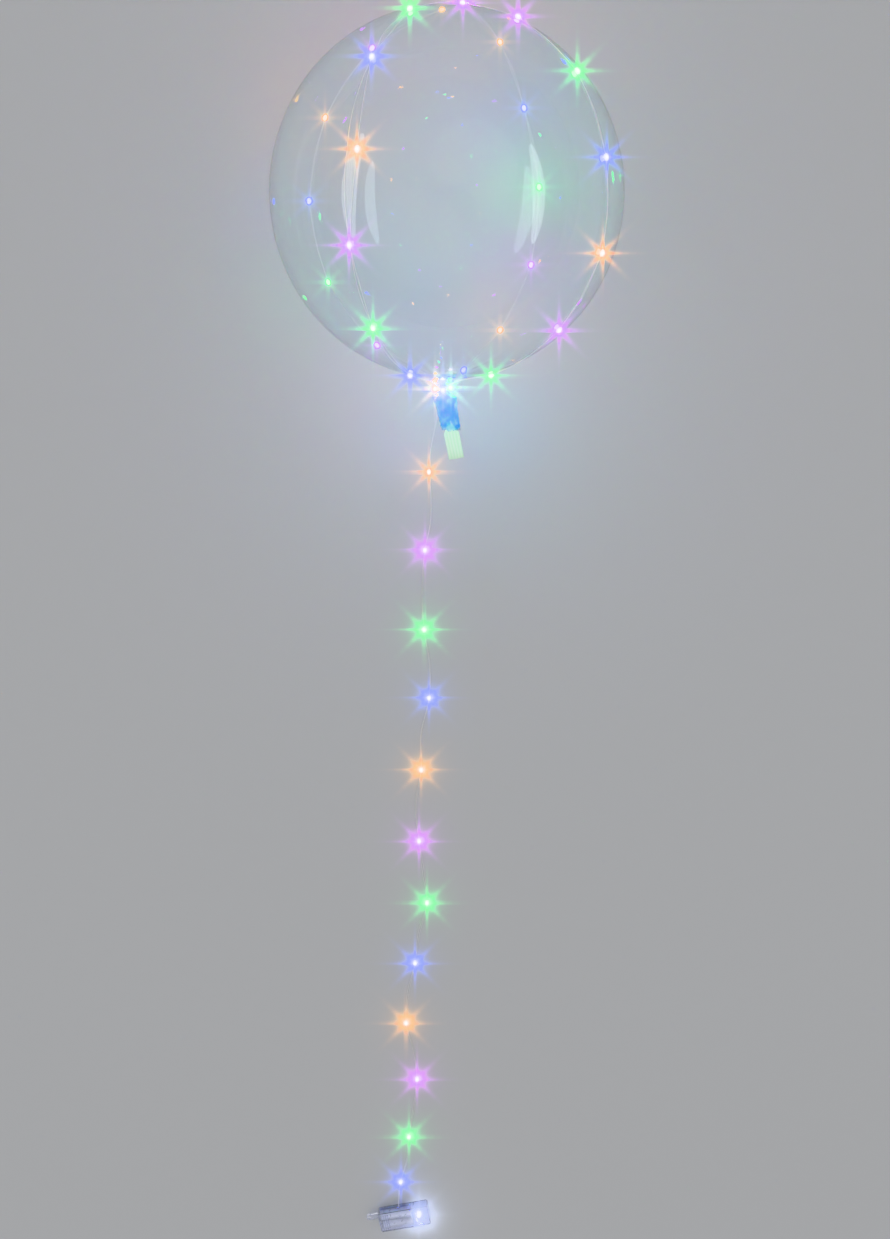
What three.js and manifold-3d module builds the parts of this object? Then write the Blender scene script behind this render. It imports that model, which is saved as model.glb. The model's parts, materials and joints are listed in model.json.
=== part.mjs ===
// Clear bubble balloon lying on its side, wound with a string of coloured lights that runs
// from its tied neck along the floor to a clear battery box.
// Millimetres, +Z up. The origin is the middle of the small flat spot that the balloon rests on.
// The neck points towards -Y and a little down, and the string follows -Y along the floor.

import * as THREE from 'three';
import { mergeVertices } from 'three/addons/utils/BufferGeometryUtils.js';
import Module from 'manifold-3d';

const manifoldLib = await Module();
manifoldLib.setup();

// ---- driving dimensions ----

const gap = 0.3;                    // room left between pieces that touch

// balloon, about its own axis: the top is at +Y of its own frame, the neck at -Y
const balloonRadius = 200;
const restRadius = 37;              // flat spot under the balloon
const neckDip = 15;                 // degrees that the neck points below level
const neckYaw = -1.4;               // degrees that the neck is turned sideways
const tieReach = 221;               // middle of the tie, from the balloon's centre
const tieRadius = 4.4;
const tieLength = 6;
const flareLength = 22;             // how fast the film gathers towards the tie
const aroundBalloon = 40;

// crumpled tail of film below the tie
const tailLength = 55;
const tailWidth = 27;
const tailFlatness = 0.55;          // thickness over width
const tailLean = 0.21;              // sideways run for each millimetre of length
const tailDroop = 0.0013;           // sag for each square millimetre of length

// flat strip held in the tail's mouth
const stripWidth = 19;
const stripThickness = 1;
const stripStart = 45;              // its peak, from the tie
const stripShoulder = 15;           // length of the peak
const stripEnd = 96;
const stripHeld = 52;               // where it lies along the tail's middle line

// string of lights
const wireRadius = 0.5;
const beadRadius = 2;
const beadHole = 1.2;
const beadLength = 6;
const beadLift = beadRadius + 0.5;  // centre of a light above the film
const wireLift = 1.1;               // centre of the wire above the film between lights
const turnsOuter = 6.9;             // turns of wire round the tie
const turnsWidth = 4.4;
const turnCount = 3;

// battery box
const caseLength = 78;
const caseWidth = 32;
const caseHeight = 18;
const caseCorner = 3;
const caseWall = 1.5;
const lidThickness = 1.8;
const casePlace = [-65, -1489, 0];
const caseTurn = 11;                // degrees
const cellRadius = 7;
const cellLength = 49;
const cellMiddle = -11.4;           // middle of the cells along the box
const divider = 15.8;               // wall between the cells and the lamp, along the box
const wireEntry = -6;               // eyelet for the wire, along the box
const wireEntryHeight = 9;

// ---- routes ----

// Lights on the film, as [angle from the top, angle round the axis from the front, colour].
// Both rounds start at the neck, cross the top and come back to the neck. A place with a
// lift in place of a colour is bare wire: there the second round passes over the first.
const frontRound = [
  [152, -23, 'blue'], [122, -26, 'green'], [94.7, -29, 'magenta'], [68.4, -28.5, 'amber'],
  [40.5, -36.5, 'blue'], [15.6, -52, 'green'], [10, 160, 'magenta'], [39.2, 153.4, 'amber'],
  [66.2, 150.4, 'blue'], [93.1, 145.2, 'green'], [120, 141.6, 'magenta'],
  [147.5, 139.3, 'amber'], [170.5, 130, 'blue'],
];
const sideRound = [
  [156, 43.3, 'green'], [125.8, 51.2, 'magenta'], [99.2, 57.2, 'amber'], [71.7, 59.3, 'blue'],
  [45.5, 66.9, 'green'], [20.8, 79.6, 'magenta'], [12.5, 155, 4.3], [18.9, -171, 'amber'],
  [43.2, -139.3, 'magenta'], [70, -129.1, 'amber'], [97.1, -123.1, 'blue'],
  [125, -119.4, 'green'], [153.5, -115.1, 'magenta'],
];
// Lights at the turns round the tie, as [angle round the axis, colour].
const tieLights = [[4, 'blue'], [88, 'green'], [-62, 'amber']];

// The free string, from the tie down to the floor and on to the battery box. A colour
// marks a light; between two lights the wire lies on the floor.
const cordRoute = [
  [-14.4, -214.6, 138.6], [-14, -222, 127], [-12.5, -234, 108], [-12, -251, 84],
  [-16, -273, 60], [-21, -300, 37],
  [-23.5, -330, 18, 'amber'], [-21, -364, 6], [-22, -402, 1.2],
  [-29.5, -439, 2.1, 'magenta'], [-33, -491, 0.7],
  [-31, -551, 2.1, 'green'], [-23.5, -602, 0.7],
  [-24.5, -650, 2.1, 'blue'], [-36, -704, 0.7],
  [-36, -757, 2.1, 'amber'], [-44, -811, 0.7],
  [-39.5, -866, 2.1, 'magenta'], [-33.5, -915, 0.7],
  [-28.5, -963, 2.1, 'green'], [-40.5, -1013, 0.7],
  [-46.5, -1060, 2.1, 'blue'], [-57, -1110, 0.7],
  [-60.5, -1159, 2.1, 'amber'], [-50, -1205, 0.7],
  [-44.5, -1254, 2.1, 'magenta'], [-50, -1304, 0.7],
  [-57.5, -1354, 2.1, 'green'], [-61, -1396, 0.7],
  [-71, -1434, 2.1, 'blue'], [-73.5, -1455, 4.6], [-74.4, -1471.9, 9],
];

// ---- materials ----

const finish = (color, roughness, metalness = 0, opacity = 1) => new THREE.MeshStandardMaterial({
  color, roughness, metalness, opacity, transparent: opacity < 1,
});
const clearFilm = finish(0xdff1f4, 0.06, 0, 0.3);
const clearPlastic = finish(0xe6ecf5, 0.12, 0, 0.4);
const stripPlastic = finish(0xbfe6c4, 0.5);
const wireMetal = finish(0xc9c3b6, 0.35, 1);
const cellJacket = finish(0xb9bcc2, 0.4, 0.6);
const nickel = finish(0xcfcfc9, 0.3, 1);
const lampEpoxy = finish(0xf4f6ff, 0.2);
const beadEpoxy = {
  blue: finish(0x4d6bff, 0.2),
  green: finish(0x22d36a, 0.2),
  magenta: finish(0xc45cff, 0.2),
  amber: finish(0xffb43a, 0.2),
};

// ---- joining and cutting ----

function toSolid(geometry) {
  const bare = geometry.clone();
  for (const name of ['normal', 'uv']) bare.deleteAttribute(name);
  const merged = mergeVertices(bare, 1e-4);
  return new manifoldLib.Manifold(new manifoldLib.Mesh({
    numProp: 3,
    vertProperties: new Float32Array(merged.attributes.position.array),
    triVerts: new Uint32Array(merged.index.array),
  }));
}

function toGeometry(solid) {
  const mesh = solid.getMesh();
  const geometry = new THREE.BufferGeometry();
  geometry.setAttribute('position', new THREE.BufferAttribute(mesh.vertProperties, 3));
  geometry.setIndex(new THREE.BufferAttribute(mesh.triVerts, 1));
  geometry.computeVertexNormals();
  return geometry;
}

const join = (...geometries) => toGeometry(geometries.map(toSolid).reduce((a, b) => a.add(b)));
const cut = (geometry, ...tools) => toGeometry(
  tools.map(toSolid).reduce((a, b) => a.subtract(b), toSolid(geometry)));

function addMesh(parent, name, geometry, material) {
  const mesh = new THREE.Mesh(geometry, material);
  mesh.name = name;
  parent.add(mesh);
  return mesh;
}

function boxFrom([x0, y0, z0], [x1, y1, z1]) {
  const box = new THREE.BoxGeometry(x1 - x0, y1 - y0, z1 - z0);
  return box.translate((x0 + x1) / 2, (y0 + y1) / 2, (z0 + z1) / 2);
}

// ---- frame of the balloon ----

const balloonParts = new THREE.Group();
balloonParts.position.z = Math.sqrt(balloonRadius ** 2 - restRadius ** 2);
balloonParts.rotation.set(
  THREE.MathUtils.degToRad(neckDip), 0, THREE.MathUtils.degToRad(neckYaw), 'ZYX');
balloonParts.updateMatrix();

// How far the film reaches beyond the ball towards the neck, at a distance from the axis.
const tieStart = tieReach - tieLength / 2;
const neckFlare = (radius) => {
  const atTie = tieStart - balloonRadius;
  return atTie * Math.exp((tieRadius - radius) / flareLength);
};

// Point on the film, or lifted off it, at an angle from the top and an angle round the axis.
function onFilm(fromTop, around, lift = 0) {
  const polar = THREE.MathUtils.degToRad(fromTop);
  const turn = THREE.MathUtils.degToRad(around);
  const radius = balloonRadius * Math.sin(polar);
  const flare = fromTop > 90 ? neckFlare(radius) : 0;
  const point = new THREE.Vector3(
    radius * Math.sin(turn), balloonRadius * Math.cos(polar) - flare, radius * Math.cos(turn));
  return point.add(point.clone().setLength(lift));
}

// Points above the film between two points on it, about every 14 degrees.
function betweenOnFilm(a, b, lift) {
  const pieces = Math.max(2, Math.round(THREE.MathUtils.radToDeg(a.angleTo(b)) / 14));
  return Array.from({ length: pieces - 1 }, (_, i) => {
    const way = a.clone().lerp(b, (i + 1) / pieces).normalize();
    const fromTop = THREE.MathUtils.radToDeg(Math.acos(way.y));
    return onFilm(fromTop, THREE.MathUtils.radToDeg(Math.atan2(way.x, way.z)), lift);
  });
}

// ---- balloon film: ball, gathered neck, tie and crumpled tail ----

// The tail leans and droops as it leaves the tie; this is its middle line.
function tailMiddle(along) {
  return new THREE.Vector3(tailLean * along, -tieReach - along, -tailDroop * along ** 2);
}

// Half width of the tail at a distance past the tie.
function tailHalfWidth(along) {
  const opening = THREE.MathUtils.smoothstep(along, tieLength / 2, 16);
  const taper = 1 - 0.16 * THREE.MathUtils.smoothstep(along, 16, tailLength);
  return tieRadius + (tailWidth / 2 * taper - tieRadius) * opening;
}

function makeFilm() {
  const outline = [new THREE.Vector2(0, balloonRadius)];
  const rows = [];
  for (let polar = 7.5; polar < 150; polar += 7.5) rows.push(polar);
  rows.push(154, 159, 164, 168, 172, 175, 177);
  for (const polar of rows) {
    const point = onFilm(polar, 90);
    outline.push(new THREE.Vector2(point.x, point.y));
  }
  outline.push(new THREE.Vector2(tieRadius, -tieStart));
  const tailRows = [tieLength / 2, 6, 10, 16, 26, 38, 48, tailLength];
  for (const along of tailRows) {
    outline.push(new THREE.Vector2(tailHalfWidth(along), -tieReach - along));
  }
  outline.push(new THREE.Vector2(0, -tieReach - tailLength));
  outline.reverse();

  const film = new THREE.LatheGeometry(outline, aroundBalloon);
  const position = film.attributes.position;
  for (let i = 0; i < position.count; i += 1) {
    const along = -tieReach - position.getY(i);
    if (along <= tieLength / 2) continue;
    const opening = THREE.MathUtils.smoothstep(along, tieLength / 2, 16);
    const turn = Math.atan2(position.getX(i), position.getZ(i));
    const crumple = 1 + opening * (0.07 * Math.cos(5 * turn + along / 9) + 0.05 * Math.cos(3 * turn));
    const flatness = 1 + (tailFlatness - 1) * opening;
    const middle = tailMiddle(along);
    position.setXYZ(i, middle.x + position.getX(i) * crumple, middle.y,
      middle.z + position.getZ(i) * crumple * flatness);
  }
  const underFloor = boxFrom([-100, -100, -30], [100, 100, 0]);
  underFloor.applyMatrix4(balloonParts.matrix.clone().invert());
  return cut(film, underFloor, stripGeometry(gap));
}

// ---- flat strip, with a peak inside the tail's mouth ----

function stripGeometry(room = 0) {
  const half = stripWidth / 2 + room;
  const end = stripEnd + (room ? 10 : 0);
  const outline = new THREE.Shape([
    new THREE.Vector2(-half, -end), new THREE.Vector2(half, -end),
    new THREE.Vector2(half, -stripStart - stripShoulder + room),
    new THREE.Vector2(2.5, -stripStart + room), new THREE.Vector2(-2.5, -stripStart + room),
    new THREE.Vector2(-half, -stripStart - stripShoulder + room),
  ]);
  const depth = stripThickness + 2 * room;
  const strip = new THREE.ExtrudeGeometry(outline, { depth, bevelEnabled: false });
  strip.translate(0, stripHeld, -depth / 2);
  const place = tailMiddle(stripHeld);
  strip.rotateX(Math.atan(2 * tailDroop * stripHeld));
  strip.rotateZ(Math.atan(tailLean));
  return strip.translate(place.x, place.y, place.z);
}

// ---- wire and lights ----

const wireSection = new THREE.Shape(Array.from({ length: 8 }, (_, i) => new THREE.Vector2(
  wireRadius * Math.cos((i + 0.5) * Math.PI / 4), wireRadius * Math.sin((i + 0.5) * Math.PI / 4))));

// A smooth line whose evenly counted steps fall on its points, so a light can sit on one.
class WireRoute extends THREE.CatmullRomCurve3 {
  constructor(points) {
    super(points, false, 'centripetal');
  }

  getUtoTmapping(share) {
    return share;
  }

  tangentAtPoint(i) {
    return this.getTangent(i / (this.points.length - 1));
  }
}

function makeWire(route) {
  const steps = 2 * (route.points.length - 1);
  return new THREE.ExtrudeGeometry(wireSection, { steps, extrudePath: route, bevelEnabled: false });
}

// A light is a drop of clear resin round the wire.
function makeBead() {
  const half = beadLength / 2;
  const outline = [
    [beadHole, -half], [beadRadius * 0.86, -half * 0.5], [beadRadius, 0],
    [beadRadius * 0.86, half * 0.5], [beadHole, half], [beadHole, -half],
  ];
  return new THREE.LatheGeometry(outline.map(([x, y]) => new THREE.Vector2(x, y)), 7);
}

function addBead(parent, name, colour, place, direction) {
  const bead = addMesh(parent, name, makeBead(), beadEpoxy[colour]);
  bead.position.copy(place);
  bead.quaternion.setFromUnitVectors(new THREE.Vector3(0, 1, 0), direction);
}

const twoDigits = (number) => String(number).padStart(2, '0');

// Lights on a wire, as [colour, index of the route's point].
function addBeads(parent, name, lit, route) {
  lit.forEach(([colour, point], i) => {
    addBead(parent, `${name}_${twoDigits(i + 1)}`, colour, route.points[point],
      route.tangentAtPoint(point));
  });
}

// One round of the string over the film: neck, lights with the wire sagging to the film
// between them, and neck again. The ends stop beside the turns at the tie.
function addRound(name, lights) {
  const reach = turnsOuter + gap + 2 * wireRadius;
  const tieEnd = (around) => {
    const turn = THREE.MathUtils.degToRad(around);
    return new THREE.Vector3(reach * Math.sin(turn), -tieStart - 1.5, reach * Math.cos(turn));
  };
  const nearTie = (around) => onFilm(175, around, beadLift);
  const points = [tieEnd(lights[0][1]), nearTie(lights[0][1])];
  const lit = [];
  const follow = (place) => {
    points.push(...betweenOnFilm(points[points.length - 1], place, wireLift), place);
  };
  for (const [fromTop, around, mark] of lights) {
    const bare = typeof mark === 'number';
    follow(onFilm(fromTop, around, bare ? mark : beadLift));
    if (!bare) lit.push([mark, points.length - 1]);
  }
  const endAround = lights[lights.length - 1][1];
  follow(nearTie(endAround));
  points.push(tieEnd(endAround));
  const route = new WireRoute(points);
  addMesh(balloonParts, `${name}_wire`, makeWire(route), wireMetal);
  addBeads(balloonParts, `${name}_light`, lit, route);
}

function makeTurns() {
  const outline = [[tieRadius + gap, -turnsWidth / 2]];
  const pitch = turnsWidth / turnCount;
  for (let i = 0; i < turnCount; i += 1) {
    const low = -turnsWidth / 2 + i * pitch;
    outline.push([turnsOuter - 0.5, low], [turnsOuter, low + pitch / 2]);
  }
  outline.push([turnsOuter - 0.5, turnsWidth / 2], [tieRadius + gap, turnsWidth / 2]);
  outline.push(outline[0]);
  return new THREE.LatheGeometry(outline.map(([x, y]) => new THREE.Vector2(x, y)), 12)
    .translate(0, -tieReach, 0);
}

function addTieLights() {
  const reach = turnsOuter + gap + beadRadius;
  tieLights.forEach(([around, colour], i) => {
    const turn = THREE.MathUtils.degToRad(around);
    const place = new THREE.Vector3(reach * Math.sin(turn), -tieReach, reach * Math.cos(turn));
    const direction = new THREE.Vector3(Math.cos(turn), 0, -Math.sin(turn));
    addBead(balloonParts, `tie_light_${twoDigits(i + 1)}`, colour, place, direction);
  });
}

function addCord(parent) {
  const route = new WireRoute(cordRoute.map(([x, y, z]) => new THREE.Vector3(x, y, z)));
  addMesh(parent, 'cord_wire', makeWire(route), wireMetal);
  const lit = cordRoute.map((point, i) => [point[3], i]).filter(([colour]) => colour);
  addBeads(parent, 'cord_light', lit, route);
}

// ---- battery box, along X of its own frame, standing on its underside ----

function roundedPlate(length, width, corner, low, high) {
  const x = length / 2;
  const y = width / 2;
  const shape = new THREE.Shape();
  shape.moveTo(x - corner, -y).absarc(x - corner, -y + corner, corner, -Math.PI / 2, 0, false);
  shape.absarc(x - corner, y - corner, corner, 0, Math.PI / 2, false);
  shape.absarc(-x + corner, y - corner, corner, Math.PI / 2, Math.PI, false);
  shape.absarc(-x + corner, -y + corner, corner, Math.PI, 1.5 * Math.PI, false);
  const plate = new THREE.ExtrudeGeometry(shape,
    { depth: high - low, bevelEnabled: false, curveSegments: 3 });
  return plate.translate(0, 0, low);
}

function makeCase() {
  const rim = caseHeight - lidThickness - gap;
  const outside = roundedPlate(caseLength, caseWidth, caseCorner, 0, rim);
  const inside = roundedPlate(caseLength - 2 * caseWall, caseWidth - 2 * caseWall,
    caseCorner - caseWall, caseWall, rim + 1);
  const wall = boxFrom([divider, -caseWidth / 2 + 1, caseWall - 0.5],
    [divider + caseWall, caseWidth / 2 - 1, rim - 2]);
  // A lug with a hole for hanging, at the end away from the lamp.
  const lug = boxFrom([-caseLength / 2 - 20, 3, 6], [-caseLength / 2 + 1, 12, 9.5]);
  const lugHole = new THREE.CylinderGeometry(2, 2, 8, 10).rotateX(Math.PI / 2)
    .translate(-caseLength / 2 - 15, 7.5, 7.75);
  const eyelet = new THREE.CylinderGeometry(2.2, 2.6, 2.5, 10)
    .translate(wireEntry, caseWidth / 2 + 0.75, wireEntryHeight);
  return join(cut(outside, inside), wall, eyelet,
    cut(lug, lugHole));
}

function makeLid() {
  const plate = roundedPlate(caseLength, caseWidth, caseCorner,
    caseHeight - lidThickness, caseHeight);
  const ribs = Array.from({ length: 4 }, (_, i) => {
    const x = -caseLength / 2 + 4 + 3.2 * i;
    return boxFrom([x, -caseWidth / 2 + 3, caseHeight - 0.5], [x + 1.4, caseWidth / 2 - 3,
      caseHeight + 0.9]);
  });
  return join(plate, ...ribs);
}

function makeCell() {
  const half = cellLength / 2;
  const outline = [[0, -half], [cellRadius, -half], [cellRadius, half - 1],
    [2.7, half - 1], [2.7, half], [0, half]];
  return new THREE.LatheGeometry(outline.map(([x, y]) => new THREE.Vector2(x, y)), 12)
    .rotateZ(-Math.PI / 2);
}

function addBatteryBox(parent) {
  const box = new THREE.Group();
  box.position.set(...casePlace);
  box.rotation.z = THREE.MathUtils.degToRad(caseTurn);
  parent.add(box);
  addMesh(box, 'battery_case', makeCase(), clearPlastic);
  addMesh(box, 'battery_lid', makeLid(), clearPlastic);

  const cellHeight = caseWall + gap + cellRadius;
  for (const [name, side] of [['battery_cell_a', 1], ['battery_cell_b', -1]]) {
    const cell = addMesh(box, name, makeCell(), cellJacket);
    cell.position.set(cellMiddle, side * (cellRadius + gap / 2), cellHeight);
    if (side < 0) cell.rotation.z = Math.PI;
  }
  const low = caseWall + gap;
  const leftEnd = -caseLength / 2 + caseWall + gap;
  const plateThickness = 0.5;
  addMesh(box, 'contact_bridge', boxFrom([leftEnd, -12, low], [leftEnd + plateThickness, 12, 13]),
    nickel);
  for (const [name, side] of [['contact_plus', 1], ['contact_minus', -1]]) {
    addMesh(box, name, boxFrom([divider - gap - plateThickness, side * 7.5 - 4.5, low],
      [divider - gap, side * 7.5 + 4.5, 13]), nickel);
  }
  const lamp = new THREE.LatheGeometry([[0, -4], [2.9, -4], [2.9, -3], [2.5, -3], [2.5, 2],
    [1.5, 3.8], [0, 4.4]].map(([x, y]) => new THREE.Vector2(x, y)), 10);
  addMesh(box, 'case_lamp', lamp.rotateX(Math.PI / 2).translate(divider + 6, -5, 6), lampEpoxy);
}

// ---- the whole object ----

const bubbleBalloon = new THREE.Group();
bubbleBalloon.add(balloonParts);
addMesh(balloonParts, 'balloon_film', makeFilm(), clearFilm);
addMesh(balloonParts, 'neck_strip', stripGeometry(), stripPlastic);
addMesh(balloonParts, 'tie_wire_turns', makeTurns(), wireMetal);
addTieLights();
addRound('front_round', frontRound);
addRound('side_round', sideRound);
addCord(bubbleBalloon);
addBatteryBox(bubbleBalloon);

export default bubbleBalloon;
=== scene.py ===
import json
import random
from math import asin, atan, atan2, cos, exp, pi, radians, sin, sqrt

import bmesh
import bpy
from mathutils import Matrix, Vector, noise


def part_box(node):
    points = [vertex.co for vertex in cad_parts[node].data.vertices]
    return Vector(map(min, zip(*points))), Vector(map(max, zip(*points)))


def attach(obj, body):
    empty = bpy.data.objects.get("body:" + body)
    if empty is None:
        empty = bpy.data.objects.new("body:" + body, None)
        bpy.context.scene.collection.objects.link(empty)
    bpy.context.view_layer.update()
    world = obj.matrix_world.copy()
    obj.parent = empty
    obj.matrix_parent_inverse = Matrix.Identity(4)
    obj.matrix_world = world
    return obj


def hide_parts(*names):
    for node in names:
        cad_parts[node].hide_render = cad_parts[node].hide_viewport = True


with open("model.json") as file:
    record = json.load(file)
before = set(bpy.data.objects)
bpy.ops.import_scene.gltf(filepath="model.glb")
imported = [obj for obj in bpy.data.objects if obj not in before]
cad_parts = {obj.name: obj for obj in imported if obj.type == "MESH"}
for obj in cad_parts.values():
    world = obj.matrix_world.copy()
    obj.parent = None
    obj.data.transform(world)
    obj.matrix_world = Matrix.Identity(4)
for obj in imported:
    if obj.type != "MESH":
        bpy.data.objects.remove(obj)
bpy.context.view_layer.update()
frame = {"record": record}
mounts = {mount["name"]: mount for mount in frame["record"]["mounts"]}
print("frame loaded")

mm = 0.001


# the camera looks down on the balloon, which lies on its side
viewpoint = dict(place=(-0.002, -0.135, 1.687), tilt=-13.4, lens=36.32)


def makeCamera():
    data = bpy.data.cameras.new("camera")
    data.lens = viewpoint["lens"]
    camera = bpy.data.objects.new("camera", data)
    camera.location = viewpoint["place"]
    camera.rotation_euler = (radians(viewpoint["tilt"]), 0, 0)
    bpy.context.collection.objects.link(camera)
    bpy.context.scene.camera = camera


makeCamera()
print("camera placed")


def smoothStep(value, low, high):
    share = min(max((value - low) / (high - low), 0), 1)
    return share * share * (3 - 2 * share)


def nodeCentre(node):
    low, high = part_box(node)
    return (low + high) / 2


def addPiece(name, mesh, materials, nodes=(), smooth=True):
    piece = bpy.data.objects.new(name, mesh)
    bpy.context.collection.objects.link(piece)
    for material in materials:
        mesh.materials.append(material)
    for face in mesh.polygons:
        face.use_smooth = smooth
    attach(piece, "root")
    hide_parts(*nodes)
    return piece


def meshFrom(bm, name, place=None):
    if place is not None:
        bm.transform(place)
    mesh = bpy.data.meshes.new(name)
    bm.to_mesh(mesh)
    bm.free()
    return mesh


# round tubes along lines of points, as one mesh
def tubesAlong(name, lines, radius, resolution=1):
    curve = bpy.data.curves.new(name, "CURVE")
    curve.dimensions = "3D"
    curve.bevel_depth = radius
    curve.bevel_resolution = resolution
    curve.use_fill_caps = True
    for line in lines:
        spline = curve.splines.new("POLY")
        spline.points.add(len(line) - 1)
        for point, place in zip(spline.points, line):
            point.co = (*place, 1)
    holder = bpy.data.objects.new(name, curve)
    mesh = bpy.data.meshes.new_from_object(holder)
    bpy.data.objects.remove(holder)
    bpy.data.curves.remove(curve)
    mesh.name = name
    return mesh


# spins a line of (radius, height) points round the local Y axis
def spinOutline(bm, outline, steps):
    verts = [bm.verts.new((radius, height, 0)) for radius, height in outline]
    edges = [bm.edges.new(pair) for pair in zip(verts, verts[1:])]
    bmesh.ops.spin(bm, geom=verts + edges, cent=(0, 0, 0), axis=(0, 1, 0), angle=2 * pi,
                   steps=steps, use_merge=True)
    bmesh.ops.remove_doubles(bm, verts=bm.verts, dist=1e-7)
    bmesh.ops.recalc_face_normals(bm, faces=bm.faces)


def startMaterial(name):
    material = bpy.data.materials.new(name)
    material.use_nodes = True
    nodes = material.node_tree.nodes
    return material, nodes, material.node_tree.links, nodes["Principled BSDF"]


def setValues(shader, **values):
    for name, value in values.items():
        shader.inputs[name.replace("_", " ")].default_value = value


# roughness and fine bumps from noise on the piece itself
def roughen(nodes, links, shader, scale, roughness, bump=0.0, depth=0.0002, stretch=(1, 1, 1)):
    place = nodes.new("ShaderNodeTexCoord")
    mapping = nodes.new("ShaderNodeMapping")
    mapping.inputs["Scale"].default_value = stretch
    links.new(place.outputs["Object"], mapping.inputs["Vector"])
    grain = nodes.new("ShaderNodeTexNoise")
    grain.inputs["Scale"].default_value = scale
    grain.inputs["Detail"].default_value = 4
    links.new(mapping.outputs["Vector"], grain.inputs["Vector"])
    spread = nodes.new("ShaderNodeMapRange")
    spread.inputs["From Min"].default_value = 0.3
    spread.inputs["From Max"].default_value = 0.7
    spread.inputs["To Min"].default_value = roughness[0]
    spread.inputs["To Max"].default_value = roughness[1]
    links.new(grain.outputs["Fac"], spread.inputs["Value"])
    links.new(spread.outputs["Result"], shader.inputs["Roughness"])
    if bump:
        dents = nodes.new("ShaderNodeBump")
        dents.inputs["Strength"].default_value = bump
        dents.inputs["Distance"].default_value = depth
        links.new(grain.outputs["Fac"], dents.inputs["Height"])
        links.new(dents.outputs["Normal"], shader.inputs["Normal"])
    return grain


# colours a socket from low to high by a pattern
def spreadColours(nodes, links, pattern, socket, low, high, between=(0, 1)):
    colours = nodes.new("ShaderNodeValToRGB")
    for element, colour, position in zip(colours.color_ramp.elements, (low, high), between):
        element.position = position
        element.color = (*colour, 1)
    links.new(pattern.outputs["Fac"], colours.inputs["Fac"])
    links.new(colours.outputs["Color"], socket)


# light from lamps and from other surfaces goes straight through a clear wall
def letLightThrough(nodes, links, shader, tint):
    path = nodes.new("ShaderNodeLightPath")
    either = nodes.new("ShaderNodeMath")
    either.operation = "MAXIMUM"
    links.new(path.outputs["Is Shadow Ray"], either.inputs[0])
    links.new(path.outputs["Is Diffuse Ray"], either.inputs[1])
    clear = nodes.new("ShaderNodeBsdfTransparent")
    clear.inputs["Color"].default_value = tint
    mix = nodes.new("ShaderNodeMixShader")
    links.new(either.outputs["Value"], mix.inputs["Fac"])
    links.new(shader.outputs["BSDF"], mix.inputs[1])
    links.new(clear.outputs["BSDF"], mix.inputs[2])
    links.new(mix.outputs["Shader"], nodes["Material Output"].inputs["Surface"])


def clearFilmMaterial():
    material, nodes, links, shader = startMaterial("clear_film")
    setValues(shader, Base_Color=(0.965, 0.99, 0.995, 1), Transmission_Weight=0.97, IOR=1.48)
    roughen(nodes, links, shader, 14, (0.0, 0.05), 0.05, 0.0004)
    letLightThrough(nodes, links, shader, (0.975, 0.985, 0.99, 1))
    tint = nodes.new("ShaderNodeVolumeAbsorption")
    tint.inputs["Color"].default_value = (0.3, 0.84, 0.88, 1)
    tint.inputs["Density"].default_value = 120
    links.new(tint.outputs["Volume"], nodes["Material Output"].inputs["Volume"])
    return material


# the crumpled tail is the same film, hazier; its blue base colour is painted glow from the blue
# lamps, with paler patches as painted highlights on the crumples and deeper blue as painted shade
# in the creases
def crumpledFilmMaterial():
    material, nodes, links, shader = startMaterial("crumpled_film_painted_light")
    setValues(shader, Transmission_Weight=0.86, IOR=1.48)
    grain = roughen(nodes, links, shader, 110, (0.02, 0.12), 0.8, 0.0012)
    # painted light: blue lamp glow, paler where the bumps rise as painted highlights, deeper
    # where they sink as painted shade
    spreadColours(nodes, links, grain, shader.inputs["Base Color"], (0.18, 0.64, 0.96),
                  (0.86, 0.99, 1.0), (0.4, 0.62))
    letLightThrough(nodes, links, shader, (0.8, 0.93, 0.98, 1))
    return material


def wireMaterial():
    material, nodes, links, shader = startMaterial("tinned_wire")
    setValues(shader, Metallic=0.3, Coat_Weight=0.4, Coat_Roughness=0.12)
    grain = roughen(nodes, links, shader, 260, (0.3, 0.5), 0.2, 0.00005)
    spreadColours(nodes, links, grain, shader.inputs["Base Color"], (0.86, 0.85, 0.82),
                  (0.97, 0.97, 0.96))
    return material


# every light is a bright, paler chip in a drop of resin that glows in its colour
litResin = dict(strength=16.0, paleness=0.35)
litChip = dict(strength=600.0, paleness=0.08)
lightColours = {
    "blue": (0.07, 0.18, 1.0),
    "green": (0.01, 1.0, 0.22),
    "magenta": (0.7, 0.1, 1.0),
    "amber": (1.0, 0.44, 0.03),
    "white": (0.72, 0.8, 1.0),
}


def paler(colour, paleness):
    return [paleness + (1 - paleness) * part for part in lightColours[colour]]


def resinMaterial(colour):
    material, nodes, links, shader = startMaterial("lit_resin_" + colour)
    tint = paler(colour, litResin["paleness"])
    setValues(shader, Base_Color=(*tint, 1), Transmission_Weight=0.8, IOR=1.5,
              Emission_Color=(*lightColours[colour], 1), Emission_Strength=litResin["strength"])
    roughen(nodes, links, shader, 900, (0.05, 0.2), 0.1, 0.0001)
    material.cycles.emission_sampling = "NONE"
    return material


def chipMaterial(colour):
    material, nodes, links, shader = startMaterial("lit_chip_" + colour)
    core = paler(colour, litChip["paleness"])
    setValues(shader, Base_Color=(0.9, 0.9, 0.85, 1), Emission_Color=(*core, 1),
              Emission_Strength=litChip["strength"])
    roughen(nodes, links, shader, 1500, (0.4, 0.6))
    material.cycles.emission_sampling = "NONE"
    return material


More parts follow.
